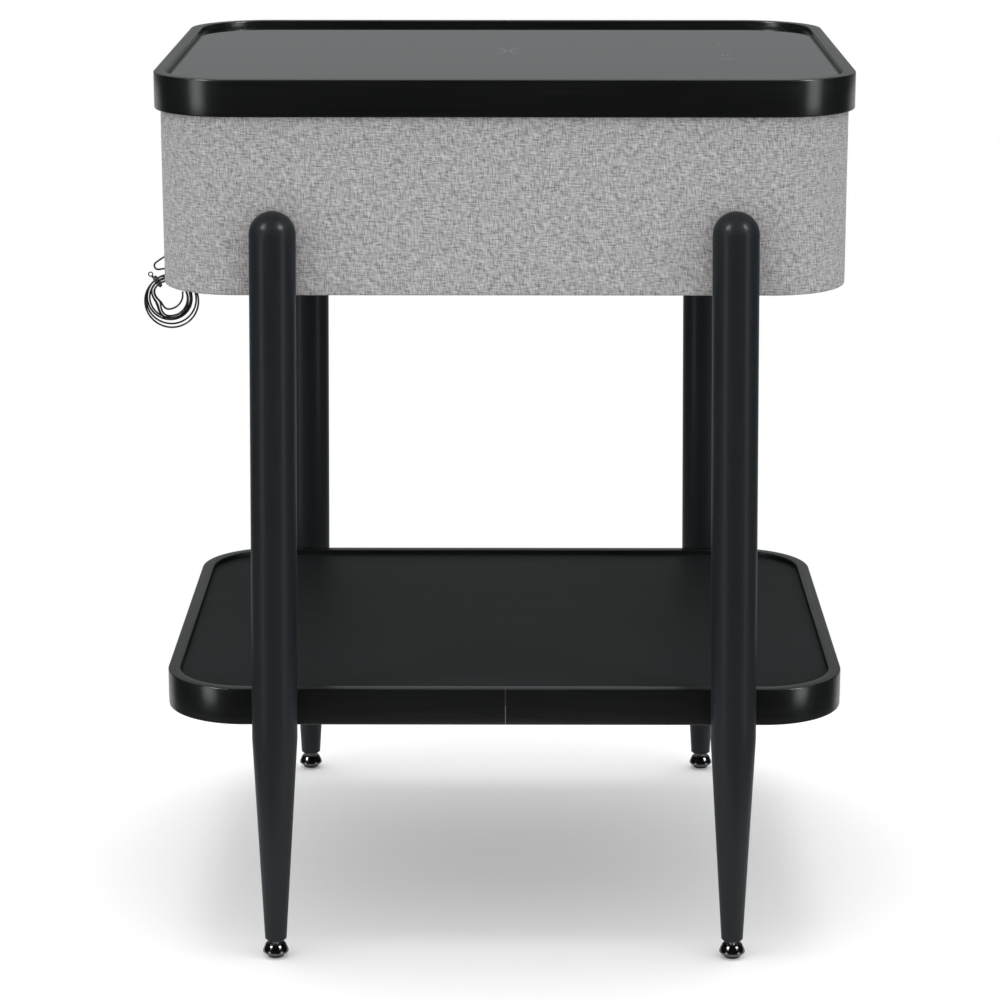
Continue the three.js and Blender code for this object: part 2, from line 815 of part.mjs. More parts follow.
// How far each turn strays outwards opposite the tie, and how far it tucks in beside the tie
const turnStray = [4.6, 2.2, 0.5, 0.6, 0.9, 1.2, 1.6, -3.4];
const turnTuck = [0, 0, 0, 0, 4.5, 5, 5.5, 3.5];

// The coil's centreline in turns from the tie. It turns about Y, leftwards and down first.
function coilPoint(turns) {
  const turn = Math.min(Math.floor(turns), turnStray.length - 1);
  const share = turns - turn;
  const angle = coilStartAngle + 2 * Math.PI * turns;
  const openness = (1 - Math.cos(2 * Math.PI * share)) / 2;
  const spread = coilPitch * (1 + coilSpread * openness);
  const [outward, along] = [0, 1].map((k) =>
    THREE.MathUtils.lerp(bundleOrder[turn][k], bundleOrder[turn + 1][k], share),
  );
  const fromTuck = Math.min(Math.abs(share - coilTuckAt) / coilTuckSpan, 1);
  const tuck = turnTuck[turn] * Math.cos((Math.PI / 2) * fromTuck) ** 2;
  const radius = coilRadius + outward * spread + turnStray[turn] * openness - tuck;
  return new THREE.Vector3(
    coilAcross + radius * Math.cos(angle),
    glandAlong + along * spread,
    coilHeight + radius * Math.sin(angle),
  );
}

// A wire of the aerial's section along a smooth line through points
function wireAlong(points, steps) {
  const line = new THREE.CatmullRomCurve3(points, false, "centripetal");
  line.arcLengthDivisions = 8 * steps;
  const section = new THREE.Shape();
  for (let step = 0; step < wireFacets; step++) {
    const angle = (2 * Math.PI * step) / wireFacets;
    const corner = [wireRadius * Math.cos(angle), wireRadius * Math.sin(angle)];
    if (step === 0) section.moveTo(...corner);
    else section.lineTo(...corner);
  }
  section.closePath();
  return new THREE.ExtrudeGeometry(section, { steps, extrudePath: line, bevelEnabled: false });
}

// The least gap of a wire to itself, and to another wire, measured between points on their lines
function leastGap(points, others = points) {
  const skip = others === points ? coilStepsPerTurn / 2 : 0;
  let least = Infinity;
  points.forEach((point, index) => {
    for (let other = others === points ? index + skip : 0; other < others.length; other++) {
      least = Math.min(least, point.distanceTo(others[other]));
    }
  });
  return least - 2 * wireRadius;
}

function makeAerial() {
  const wallFace = tableWidth / 2 - drumInset;
  const tip = wallFace + seatGap + glandFlangeThickness + glandNoseLength;
  const backEnd = wallFace - drumWall - clothThickness;
  const gland = turned(
    [
      [0, backEnd],
      [glandBodyRadius, backEnd],
      [glandBodyRadius, wallFace + seatGap],
      [glandFlangeRadius, wallFace + seatGap],
      [glandFlangeRadius, wallFace + seatGap + glandFlangeThickness],
      [glandNoseRadius + 0.7, wallFace + seatGap + glandFlangeThickness],
      [glandNoseRadius, tip],
      [0, tip],
    ],
    footFacets,
  ).rotateY(-Math.PI / 2);
  addPiece("aerial_gland", gland, looks.rubber()).position.set(0, glandAlong, glandHeight);

  const start = coilPoint(0);
  const heading = coilPoint(0.002).sub(start).normalize();
  heading.y = 0;
  heading.normalize();
  const coilPoints = [start.clone().addScaledVector(heading, -coilStub)];
  coilPoints.push(start.clone().addScaledVector(heading, -coilStub / 2));
  const turnSteps = Math.round(coilTurns * coilStepsPerTurn);
  for (let step = 0; step <= turnSteps; step++) coilPoints.push(coilPoint((step * coilTurns) / turnSteps));
  const last = coilPoints.at(-1);
  const tailHeading = last.clone().sub(coilPoints.at(-2)).normalize();
  coilPoints.push(last.clone().addScaledVector(tailHeading, 2 * wireRadius));
  addPiece("aerial_coil", wireAlong(coilPoints, turnSteps + 4), looks.wire());

  // The lead droops from the gland, bends back on itself and runs into the tie.
  // Its points are measured from the gland's tip: how far left, along and up.
  const joint = coilPoints[0].clone().addScaledVector(heading, -seatGap);
  const leadPoints = [
    [seatGap, 0, 0],
    [seatGap + 1.2, 0, -0.2],
    [2.6, 0, -1.6],
    [2.9, -0.1, -4.4],
    [4.6, -0.3, -7.4],
    [7.8, -0.5, -9.8],
    [11, -0.8, -12],
    [12.8, -1.1, -13.8],
    [11.8, -1.5, -15.3],
    [9.2, -1.8, -14.6],
    [6, -2, -12.9],
    [3.6, -2.2, -12.8],
    [2.3, -2.3, -14.5],
    [3.3, -2.5, -16.4],
    [5.2, -2.4, -17.4],
  ].map(([left, along, up]) => new THREE.Vector3(-tip - left, glandAlong + along, glandHeight + up));
  leadPoints.push(joint.clone().addScaledVector(heading, -1.4), joint);
  addPiece("aerial_lead", wireAlong(leadPoints, 34), looks.wire());

  const fine = coilPoints.length * 4;
  const coilLine = new THREE.CatmullRomCurve3(coilPoints, false, "centripetal").getPoints(fine);
  const leadLine = new THREE.CatmullRomCurve3(leadPoints, false, "centripetal").getPoints(200);
  const leadGap = leastGap(leadLine.slice(0, 180), coilLine); // without its last stretch, at the joint
  console.log(`aerial coil: least gap to itself ${leastGap(coilPoints).toFixed(2)} mm`);
  console.log(`aerial lead: least gap to the coil ${leadGap.toFixed(2)} mm`);

  const tie = turned(
    [
      [tieInnerRadius, -tieLength / 2],
      [tieInnerRadius + tieWall, -tieLength / 2],
      [tieInnerRadius + tieWall, tieLength / 2],
      [tieInnerRadius, tieLength / 2],
      [tieInnerRadius, -tieLength / 2],
    ],
    footFacets,
  );
  const tieMesh = addPiece("aerial_tie", tie, looks.plastic());
  tieMesh.position.set(
    coilAcross + coilRadius * Math.cos(coilStartAngle),
    glandAlong,
    coilHeight + coilRadius * Math.sin(coilStartAngle),
  );
  tieMesh.quaternion.setFromUnitVectors(new THREE.Vector3(0, 0, 1), heading);
}

makeTray();
makeCharger();
makeDrum();
makeDriver(-1, "left");
makeDriver(1, "right");
makeAmplifier();
makeInlet();
makeShelf();
for (const place of legPlaces) {
  makeLeg(place);
  makeBolts(place);
  makeFoot(place);
}
makeAerial();

export default table;
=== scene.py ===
# Side table: a glass-topped tray, a cloth-covered speaker drum, a lipped shelf
# and four splayed legs on levelling feet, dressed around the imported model.
import json
import math
import random

import bmesh
import bpy
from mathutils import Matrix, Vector


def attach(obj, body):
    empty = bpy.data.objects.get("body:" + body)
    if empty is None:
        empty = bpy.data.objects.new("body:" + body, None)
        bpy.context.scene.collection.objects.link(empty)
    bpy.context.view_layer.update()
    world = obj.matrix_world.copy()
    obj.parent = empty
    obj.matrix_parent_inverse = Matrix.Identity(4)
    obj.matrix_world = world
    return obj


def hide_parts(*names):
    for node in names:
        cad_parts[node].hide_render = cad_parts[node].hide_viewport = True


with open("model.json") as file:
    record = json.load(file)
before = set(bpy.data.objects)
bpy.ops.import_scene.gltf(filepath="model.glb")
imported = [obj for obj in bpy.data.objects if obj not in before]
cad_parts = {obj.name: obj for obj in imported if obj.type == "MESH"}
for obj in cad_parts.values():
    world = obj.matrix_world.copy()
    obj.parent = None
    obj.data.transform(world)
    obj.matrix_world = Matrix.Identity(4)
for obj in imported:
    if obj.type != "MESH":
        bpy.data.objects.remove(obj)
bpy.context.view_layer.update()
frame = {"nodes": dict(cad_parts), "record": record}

scene = bpy.context.scene
mm = 0.001

# The camera stands where the photograph was taken from
photoCamera = {
    "place": (0.008, -2.5208, 0.9278),
    "down": 14.16,  # degrees below level
    "turn": 0.27,  # degrees to the left
    "lens": 120.2,
    "sensor": 36,
}


def makeCamera(spec):
    lens = bpy.data.cameras.new("photoCamera")
    lens.lens = spec["lens"]
    lens.sensor_width = spec["sensor"]
    lens.clip_end = 50
    camera = bpy.data.objects.new("photoCamera", lens)
    camera.location = spec["place"]
    camera.rotation_euler = (math.radians(90 - spec["down"]), 0, math.radians(spec["turn"]))
    scene.collection.objects.link(camera)
    scene.camera = camera


makeCamera(photoCamera)
print("camera placed")


def setSockets(tree, node, values):
    for key, value in values.items():
        if isinstance(value, Wire):
            tree.links.new(value.socket, node.inputs[key])
        else:
            node.inputs[key].default_value = value


class Wire:
    def __init__(self, tree, socket=None):
        self.tree = tree
        self.socket = socket

    # Any node: its settings first, then the values or links of its sockets
    def node(self, kind, settings=None, sockets=None, out=0):
        made = self.tree.nodes.new(kind)
        for name, value in (settings or {}).items():
            setattr(made, name, value)
        setSockets(self.tree, made, sockets or {})
        return Wire(self.tree, made.outputs[out])

    def other(self, name):
        return Wire(self.tree, self.socket.node.outputs[name])

    def math(self, operation, *values):
        return self.node("ShaderNodeMath", {"operation": operation}, dict(enumerate(values)))

    def __add__(self, value):
        return self.math("ADD", self, value)

    def __sub__(self, value):
        return self.math("SUBTRACT", self, value)

    def __rsub__(self, value):
        return self.math("SUBTRACT", value, self)

    def __mul__(self, value):
        return self.math("MULTIPLY", self, value)

    def __truediv__(self, value):
        return self.math("DIVIDE", self, value)

    def __neg__(self):
        return self * -1

    __radd__ = __add__
    __rmul__ = __mul__

    # Where this goes from low to high, the result goes from 0 to 1 and stays there
    def step(self, low, high):
        return self.node(
            "ShaderNodeMapRange",
            {"interpolation_type": "SMOOTHSTEP"},
            {"Value": self, "From Min": low, "From Max": high},
        )

    def blend(self, share, first, second):
        colours = {0: share, 6: wide(first), 7: wide(second)}
        return self.node("ShaderNodeMix", {"data_type": "RGBA"}, colours, 2)

    def stretch(self, scale):
        return self.node("ShaderNodeMapping", {}, {"Vector": self, "Scale": scale})

    def noise(self, scale=1, detail=2, roughness=0.5):
        return self.node(
            "ShaderNodeTexNoise",
            {},
            {"Vector": self, "Scale": scale, "Detail": detail, "Roughness": roughness},
        )

    def bump(self, depth, strength):
        return self.node("ShaderNodeBump", {}, {"Height": self, "Distance": depth, "Strength": strength})

    # 1 between the two steps, 0 below the first and above the second
    def band(self, rise, fall):
        return self.step(*rise) * (1 - self.step(*fall))


def wide(colour):
    return colour if isinstance(colour, Wire) else (*colour, 1)


def newFinish(name):
    material = bpy.data.materials.new(name)
    material.use_nodes = True
    start = Wire(material.node_tree)
    return material, start


def shade(material, **sockets):
    tree = material.node_tree
    named = {key.replace("_", " "): value for key, value in sockets.items()}
    for key in ("Base Color", "Emission Color"):
        if key in named:
            named[key] = wide(named[key])
    setSockets(tree, tree.nodes["Principled BSDF"], named)
    return material


def inPlace(start):  # metres, in the table's own frame
    return start.node("ShaderNodeTexCoord", {}, {}, "Object")


def alongOutline(start):  # metres along the strip or cloth, and across it
    return start.node("ShaderNodeUVMap", {"uv_map": "outline"})


finishes = {}

stripLook = {
    "colour": (0.003, 0.0034, 0.0033),
    "streakGain": 1.7,  # how much lighter the streaks of the grain are
    "streaks": (7, 900, 1),
    "pores": (140, 2600, 1),
    "grainDepth": 0.00006,
    "roughness": 0.32,
    "coat": 0.5,
    # a raw edge's paler colour, partly a painted highlight of the light that the cut edge catches
    "rawEdgeAndGlint": (0.028, 0.028, 0.027),
    "edgeWidth": 0.0004,
}


def makeStripFinish(look):
    material, start = newFinish("blackStrip")
    place = alongOutline(start)
    streaks = place.stretch(look["streaks"]).noise(1, 3)
    pores = place.stretch(look["pores"]).noise(1, 2)
    light = [look["streakGain"] * c for c in look["colour"]]
    colour = start.blend(streaks.step(0.35, 0.7), look["colour"], light)
    fromSeam = place.node("ShaderNodeSeparateXYZ", {}, {"Vector": place})
    # Pale band at the cut ends: a raw edge's colour plus a painted highlight of the light the cut catches
    edge = 1 - fromSeam.step(look["edgeWidth"], 1.6 * look["edgeWidth"])
    return shade(
        material,
        Base_Color=start.blend(edge, colour, look["rawEdgeAndGlint"]),
        Roughness=look["roughness"] + 0.14 * streaks.step(0.3, 0.7),
        Normal=(streaks * 0.6 + pores * 0.4).bump(look["grainDepth"], 0.6),
        Specular_IOR_Level=0.2,
        Coat_Weight=look["coat"],
        Coat_Roughness=0.12,
    )


finishes["black_strip"] = makeStripFinish(stripLook)

boardLook = {
    "colour": (0.0078, 0.0095, 0.0098),
    "grainGain": 1.14,
    "grain": (8, 420, 420),
    "grainDepth": 0.00001,
    "roughness": 0.52,
}


def makeBoardFinish(look):
    material, start = newFinish("blackBoard")
    place = inPlace(start)
    grain = place.stretch(look["grain"]).noise(1, 4, 0.6)
    cloud = place.noise(9, 2)
    light = [look["grainGain"] * c for c in look["colour"]]
    return shade(
        material,
        Base_Color=start.blend(grain.step(0.35, 0.7) * 0.7 + cloud * 0.3, look["colour"], light),
        Roughness=look["roughness"] + 0.03 * grain.step(0.3, 0.7),
        Normal=grain.bump(look["grainDepth"], 0.5),
        Specular_IOR_Level=0.17,
    )


finishes["black_board"] = makeBoardFinish(boardLook)

glassLook = {"colour": (0.0035, 0.0037, 0.0038), "roughness": 0.02, "haze": 0.02}


def makeGlassFinish(look):
    material, start = newFinish("blackGlass")
    haze = inPlace(start).noise(30, 3)
    return shade(
        material,
        Base_Color=look["colour"],
        Roughness=look["roughness"] + look["haze"] * haze.step(0.4, 0.8),
    )


finishes["black_glass"] = makeGlassFinish(glassLook)

clothLook = {
    "thread": 0.0008,
    "yarn": 0.00105,  # the slubs' thickness
    "slub": 0.0056,  # and their length
    "lean": 1.7,  # so that the slubs of neighbouring threads don't line up
    "apart": 7,  # keeps the level threads' noise and the upright ones' unlike
    "wander": 0.003,  # how far the threads stray
    "wanderScale": 45,
    "shares": (0.44, 0.46, 0.07, 0.03),  # of level threads, upright ones, flecks and clouds
    "toneRange": (0.28, 0.72),
    "darkSlub": 0.2,
    "weaveTone": 0.07,
    "weaveDepth": 0.00018,
    "pale": (0.68, 0.668, 0.672),
    "dark": (0.2, 0.197, 0.2),
}


def makeClothFinish(look):
    material, start = newFinish("greyCloth")
    flat = alongOutline(start)
    wander = flat.noise(look["wanderScale"], 2).other("Color")
    strayed = {0: wander, 1: [look["wander"]] * 3, 2: flat}
    place = start.node("ShaderNodeVectorMath", {"operation": "MULTIPLY_ADD"}, strayed)
    along = place.node("ShaderNodeSeparateXYZ", {}, {"Vector": place})
    high = along.other("Y")
    across, up = along / look["thread"], high / look["thread"]
    # Plain weave: a thread rises where the threads it crosses dip
    checker = start.math("PINGPONG", start.math("FLOOR", across) + start.math("FLOOR", up), 1)
    warp = start.math("PINGPONG", across, 0.5) * 2 * checker
    weft = start.math("PINGPONG", up, 0.5) * 2 * (1 - checker)
    weave = start.math("MAXIMUM", warp, weft)
    long, thick, lean = 1 / look["slub"], 1 / look["yarn"], look["lean"]
    levelPlace = {0: (along + high * lean) * long, 1: high * thick}
    uprightPlace = {0: along * thick, 1: (high + along * lean) * long, 2: look["apart"]}
    level = start.node("ShaderNodeCombineXYZ", {}, levelPlace).noise(1, 1)
    upright = start.node("ShaderNodeCombineXYZ", {}, uprightPlace).noise(1, 1)
    fleck = place.stretch((thick, thick, 3)).noise(1, 1)
    cloud = place.noise(60, 2)
    levelShare, uprightShare, fleckShare, cloudShare = look["shares"]
    tone = level * levelShare + upright * uprightShare + fleck * fleckShare + cloud * cloudShare
    darkSlub = 1 - level.step(0.26, 0.34)
    pale = tone.step(*look["toneRange"]) - darkSlub * look["darkSlub"] + (weave - 0.5) * look["weaveTone"]
    return shade(
        material,
        Base_Color=start.blend(pale, look["dark"], look["pale"]),
        Roughness=0.9,
        Normal=(weave + tone).bump(look["weaveDepth"], 0.7),
        Specular_IOR_Level=0.2,
        Sheen_Weight=0.12,
        Sheen_Roughness=0.5,
    )


finishes["grey_cloth"] = makeClothFinish(clothLook)

legLook = {
    "colour": (0.0118, 0.0143, 0.0165),
    "cloudGains": (0.93, 1.1),
    "peelScale": 700,
    "peelDepth": 0.00003,
    "roughness": 0.52,
}


def makeLegFinish(look):
    material, start = newFinish("charcoalLeg")
    place = inPlace(start)
    peel = place.noise(look["peelScale"], 2)
    cloud = place.stretch((1, 1, 0.2)).noise(60, 2)
    dark, light = [[gain * c for c in look["colour"]] for gain in look["cloudGains"]]
    return shade(
        material,
        Base_Color=start.blend(cloud, dark, light),
        Roughness=look["roughness"] + 0.06 * (cloud - 0.5),
        Normal=peel.bump(look["peelDepth"], 0.35),
        Specular_IOR_Level=0.12,
        Coat_Weight=0.1,
        Coat_Roughness=0.2,
    )


finishes["charcoal_leg"] = makeLegFinish(legLook)

plainLooks = {
    # slot: colour, roughness, metal, noise scale, bump depth
    "raw_board": ((0.32, 0.22, 0.13), 0.8, 0, (30, 30, 500), 0.0001),
    "steel": ((0.45, 0.45, 0.46), 0.32, 1, (900, 900, 60), 0.00003),
    "dark_chrome": ((0.1, 0.1, 0.105), 0.1, 1, (200, 200, 200), 0.000004),
    "brass": ((0.55, 0.4, 0.18), 0.35, 1, (200, 200, 1500), 0.00002),
    "black_plastic": ((0.012, 0.012, 0.012), 0.5, 0, (1500, 1500, 1500), 0.00003),
    "wire_sleeve": ((0.008, 0.008, 0.009), 0.32, 0, (400, 400, 400), 0.00001),
    "circuit_board": ((0.02, 0.1, 0.05), 0.45, 0, (300, 300, 300), 0.00002),
    "copper": ((0.45, 0.2, 0.09), 0.4, 1, (900, 900, 900), 0.00006),
    "cone_paper": ((0.025, 0.025, 0.025), 0.9, 0, (700, 700, 700), 0.00008),
    "black_rubber": ((0.012, 0.012, 0.012), 0.75, 0, (1200, 1200, 1200), 0.00003),
    "printGrey": ((0.13, 0.134, 0.134), 0.03, 0, (900, 900, 900), 0.000001),
}


def makePlainFinish(name, colour, roughness, metal, scale, depth):
    material, start = newFinish(name)
    speck = inPlace(start).stretch(scale).noise(1, 3)
    dark, pale = [0.85 * c for c in colour], [1.15 * c for c in colour]
    return shade(
        material,
        Base_Color=start.blend(speck.step(0.25, 0.75), dark, pale),
        Roughness=roughness + 0.15 * roughness * (speck - 0.5),
        Metallic=metal,
        Normal=speck.bump(depth, 0.6),
    )


for slotName, look in plainLooks.items():
    finishes[slotName] = makePlainFinish(slotName, *look)

for row in frame["record"]["subparts"]:
    node = frame["nodes"][row["node"]]
    node.data.materials.clear()
    node.data.materials.append(finishes[row["material_slot"]])
print("finishes made:", len(finishes))


recordSlots = {row["slot"] for row in frame["record"]["materials"]}


def addObject(name, data, slotName):
    data.materials.append(finishes[slotName])
    made = bpy.data.objects.new(name, data)
    scene.collection.objects.link(made)
    slotName in recordSlots
    return made


def settle(piece, body, *nodes):
    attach(piece, body)
    if nodes:
        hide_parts(*nodes)
    return piece


weldDistance = 1e-7


def meshPiece(name, slotName, verts, faces, places=None, sharp=35):
    mesh = bpy.data.meshes.new(name)
    mesh.from_pydata(verts, [], faces)
    if places:
        layer = mesh.uv_layers.new(name="outline")
        for face, corners in zip(mesh.polygons, places):
            for loop, corner in zip(face.loop_indices, corners):
                layer.data[loop].uv = corner
    work = bmesh.new()
    work.from_mesh(mesh)
    bmesh.ops.remove_doubles(work, verts=work.verts, dist=weldDistance)
    bmesh.ops.recalc_face_normals(work, faces=work.faces)
    work.to_mesh(mesh)
    work.free()
    mesh.shade_smooth()
    mesh.set_sharp_from_angle(angle=math.radians(sharp))
    return addObject(name, mesh, slotName)


tablePlan = {"width": 0.5, "depth": 0.4, "corner": 0.06, "cornerSteps": 28, "straightStep": 0.02}


# Stations round the table's plan, each with its outward normal and its distance along:
# anticlockwise from a seam in the middle of the front or the back
def outline(seamAcross=0, seamGap=0, back=False, plan=tablePlan):
    halfWidth, halfDepth, corner = plan["width"] / 2, plan["depth"] / 2, plan["corner"]
    side = 1 if back else -1
    facing = 90 if back else -90
    stations = []

    def straight(start, end, normal):
        count = max(1, round((end - start).length / plan["straightStep"]))
        for index in range(count + 1):
            stations.append((start.lerp(end, index / count), normal))

    heading = Vector((-side, 0))
    first = Vector((seamAcross + heading.x * seamGap / 2, side * halfDepth))
    last = Vector((seamAcross - heading.x * seamGap / 2, side * halfDepth))
    inX, inY = halfWidth - corner, halfDepth - corner
    middles = [Vector((inX, -inY)), Vector((inX, inY)), Vector((-inX, inY)), Vector((-inX, -inY))]
    if back:
        middles = middles[2:] + middles[:2]
    here = first
    for quarter, middle in enumerate(middles):
        angle = math.radians(facing + 90 * quarter)
        normal = Vector((math.cos(angle), math.sin(angle)))
        straight(here, middle + corner * normal, normal)
        for index in range(1, plan["cornerSteps"]):
            turned = angle + math.pi / 2 * index / plan["cornerSteps"]
            normal = Vector((math.cos(turned), math.sin(turned)))
            stations.append((middle + corner * normal, normal))
        turned = angle + math.pi / 2
        here = middle + corner * Vector((math.cos(turned), math.sin(turned)))
    normal = Vector((0, side))
    straight(here, last, normal)
    measured, distance = [], 0
    for index, (place, normal) in enumerate(stations):
        if index:
            distance += (place - stations[index - 1][0]).length
        measured.append((place, normal, distance))
    return measured


# Rounded corners for a closed section of (inset, height) points
def roundSection(points, radius, steps=3):
    rounded = []
    count = len(points)
    for index, point in enumerate(points):
        size = radius[index] if isinstance(radius, (list, tuple)) else radius
        here = Vector(point)
        before = (Vector(points[index - 1]) - here).normalized()
        after = (Vector(points[(index + 1) % count]) - here).normalized()
        if size == 0:
            rounded.append(tuple(here))
            continue
        start, end = here + before * size, here + after * size
        for step in range(steps + 1):
            share = step / steps
            rounded.append(tuple(start.lerp(here, share).lerp(here.lerp(end, share), share)))
    return rounded


# A section along the stations, its ends bevelled by ease. The first number of the map is the
# distance to the nearer end where the cut ends are to show, so that they show as raw edges painted
# paler: a raw edge's own colour plus a painted highlight of the light the cut catches. With ease
# alone it starts at 1, so that none does
def sweep(name, slotName, stations, section, stray=None, ease=0, rawAndGlintEnds=False):
    count = len(section)
    total = stations[-1][2]
    if ease:
        insets, heights = zip(*section)
        low, high = (min(insets) + ease, min(heights) + ease), (max(insets) - ease, max(heights) - ease)
        cut = [[min(max(c, a), b) for c, a, b in zip(point, low, high)] for point in section]
        first, last = stations[0], stations[-1]
        slope = (stations[1][0] - first[0]).normalized() * ease
        inner = [(first[0] + slope, first[1], ease), (last[0] - slope, last[1], total - ease)]
        stations = [first, inner[0]] + stations[1:-1] + [inner[1], last]
    across = [0]
    for index in range(count):
        across.append(across[-1] + (Vector(section[(index + 1) % count]) - Vector(section[index])).length)
    verts, faces, places = [], [], []
    for row, (place, normal, along) in enumerate(stations):
        ended = ease and row in (0, len(stations) - 1)
        for inset, height in cut if ended else section:
            out = stray(along, height) if stray else 0
            spot = place - normal * (inset - out)
            verts.append((spot.x, spot.y, height))
    for row in range(len(stations) - 1):
        here, there = stations[row][2], stations[row + 1][2]
        if rawAndGlintEnds:
            here, there = min(here, total - here), min(there, total - there)
        elif ease:
            here, there = here + 1, there + 1
        for index in range(count):
            after = (index + 1) % count
            low, high = row * count, (row + 1) * count
            faces.append((low + index, high + index, high + after, low + after))
            near, far = across[index], across[index + 1]
            places.append(((here, near), (there, near), (there, far), (here, far)))
    for row, along in ((0, stations[0][2]), (len(stations) - 1, stations[-1][2])):
        faces.append(tuple(row * count + index for index in range(count)))
        places.append(tuple((0 if rawAndGlintEnds else along + inset + 1, height) for inset, height in section))
    return meshPiece(name, slotName, verts, faces, places)


# A sheet or board of the table's plan: rings of (inset, height) from the lower face to the upper
def plate(name, slotName, rings):
    stations = outline()[:-1]
    count = len(stations)
    verts, faces = [], []
    for inset, height in rings:
        for place, normal, _ in stations:
            spot = place - normal * inset
            verts.append((spot.x, spot.y, height))
    for row in range(len(rings) - 1):
        for index in range(count):
            after = (index + 1) % count
            low, high = row * count, (row + 1) * count
            faces.append((low + index, low + after, high + after, high + index))
    faces.append(tuple(reversed(range(count))))
    faces.append(tuple((len(rings) - 1) * count + index for index in range(count)))
    return meshPiece(name, slotName, verts, faces, sharp=15)


# Rings of points about an upright axis: each ring is (radius, height, middle)
def ringMesh(name, slotName, rings, segments, sharp=35, closed=False):
    verts, faces = [], []
    for radius, height, middle in rings:
        for index in range(segments):
            angle = 2 * math.pi * index / segments
            reach = radius(angle, height) if callable(radius) else radius
            x, y = middle[0] + reach * math.cos(angle), middle[1] + reach * math.sin(angle)
            verts.append((x, y, height))
    rows = len(rings) if closed else len(rings) - 1
    for row in range(rows):
        low, high = row * segments, (row + 1) % len(rings) * segments
        for index in range(segments):
            after = (index + 1) % segments
            faces.append((low + index, low + after, high + after, high + index))
    if not closed:
        faces.append(tuple(reversed(range(segments))))
        faces.append(tuple((len(rings) - 1) * segments + index for index in range(segments)))
    return meshPiece(name, slotName, verts, faces, sharp=sharp)


def turned(name, slotName, profile, middle, segments=48, sharp=35, closed=False):
    rings = [(radius, height, middle) for radius, height in profile]
    return ringMesh(name, slotName, rings, segments, sharp, closed)


# A smooth line through points, spaced as the solids' own line is
def smoothLine(points, steps):
    spots = [2 * points[0] - points[1]] + points + [2 * points[-1] - points[-2]]
    line = []
    for index in range(1, len(spots) - 2):
        p0, p1, p2, p3 = spots[index - 1 : index + 3]
        t0, t1, t2 = [max((b - a).length, 1e-9) ** 0.5 for a, b in ((p0, p1), (p1, p2), (p2, p3))]
        leave = ((p1 - p0) / t0 - (p2 - p0) / (t0 + t1) + (p2 - p1) / t1) * t1
        arrive = ((p2 - p1) / t1 - (p3 - p1) / (t1 + t2) + (p3 - p2) / t2) * t1
        for step in range(steps):
            t = step / steps
            line.append(
                (2 * t**3 - 3 * t**2 + 1) * p1
                + (t**3 - 2 * t**2 + t) * leave
                + (3 * t**2 - 2 * t**3) * p2
                + (t**3 - t**2) * arrive
            )
    line.append(points[-1])
    return line


def lineLength(line):
    return sum((b - a).length for a, b in zip(line, line[1:]))


# A round wire along a line of points, in millimetres
def wirePiece(name, slotName, radius, line):
    curve = bpy.data.curves.new(name, "CURVE")
    curve.dimensions = "3D"
    curve.bevel_depth = radius * mm
    curve.bevel_resolution = 3
    curve.use_fill_caps = True
    spline = curve.splines.new("POLY")
    spline.points.add(len(line) - 1)
    for point, place in zip(spline.points, line):
        point.co = (*(place * mm), 1)
    return addObject(name, curve, slotName)


aerial = {
    "wireRadius": 0.7,  # millimetres here, as in the solids
    "tip": (-250.0, -60, 497),  # the grommet's mouth
    "middle": (-251, -60, 463),
    "radius": 15,
    "turns": 7.7,
    "pitch": 2,  # of the turns in the tie
    "spread": 0.55,  # how much they open out opposite it
    "tuckAt": 0.22,  # where the inner turns tuck in most, in turns past the tie
    "tuckSpan": 0.17,
    "startAngle": 125,  # degrees, where the tie is
    "stepsPerTurn": 24,
    "smoothSteps": 4,  # between two points
    "stub": 1.8,  # straight on, ahead of the first turn
    "approach": (0.3, 1.4),  # and the lead's last two points, ahead of the stub and of each other
    "layers": [(1, -1), (1, 0), (1, 1), (0, 1), (0, 0), (0, -1), (-1, -1), (-1, 0), (-1, 1)],
    "stray": [4.6, 2.2, 0.5, 0.6, 0.9, 1.2, 1.6, -3.4],
    "tuck": [0, 0, 0, 0, 4.5, 5, 5.5, 3.5],
    # The lead from the grommet's mouth: left, along and up
    "lead": [
        (0.6, 0, 0), (1.61, 0, -0.18), (2.5, -0.13, -0.69), (3.15, -0.27, -1.47), (4.65, -0.4, -3.1),
        (6.11, -0.53, -4.1), (7.58, -0.67, -5.1), (9.04, -0.8, -6.11), (10.5, -0.93, -7.11),
        (11.36, -1.07, -8.06), (11.73, -1.2, -9.28), (11.52, -1.33, -10.54), (10.79, -1.47, -11.59),
        (9.67, -1.6, -12.2), (8.39, -1.73, -12.27), (6.91, -1.87, -12.01), (5.44, -2, -11.75),
        (4.2, -2.13, -11.8), (3.11, -2.27, -12.37), (2.36, -2.4, -13.35), (2.09, -2.35, -14.56),
        (2.36, -2.3, -15.76), (3.11, -2.25, -16.74), (4.2, -2.2, -17.31), (5.44, -2.15, -17.36),
        (6.55, -2.1, -17.39),
    ],
}


def coilPoint(spec, turns):
    turn = min(int(turns), len(spec["stray"]) - 1)
    share = turns - turn
    angle = math.radians(spec["startAngle"]) + 2 * math.pi * turns
    openness = (1 - math.cos(2 * math.pi * share)) / 2
    spread = spec["pitch"] * (1 + spec["spread"] * openness)
    here, after = Vector(spec["layers"][turn]), Vector(spec["layers"][turn + 1])
    outward, along = here.lerp(after, share)
    fromTuck = min(abs(share - spec["tuckAt"]) / spec["tuckSpan"], 1)
    tuck = spec["tuck"][turn] * math.cos(math.pi / 2 * fromTuck) ** 2
    radius = spec["radius"] + outward * spread + spec["stray"][turn] * openness - tuck
    x, y, z = spec["middle"]
    return Vector((x + radius * math.cos(angle), y + along * spread, z + radius * math.sin(angle)))


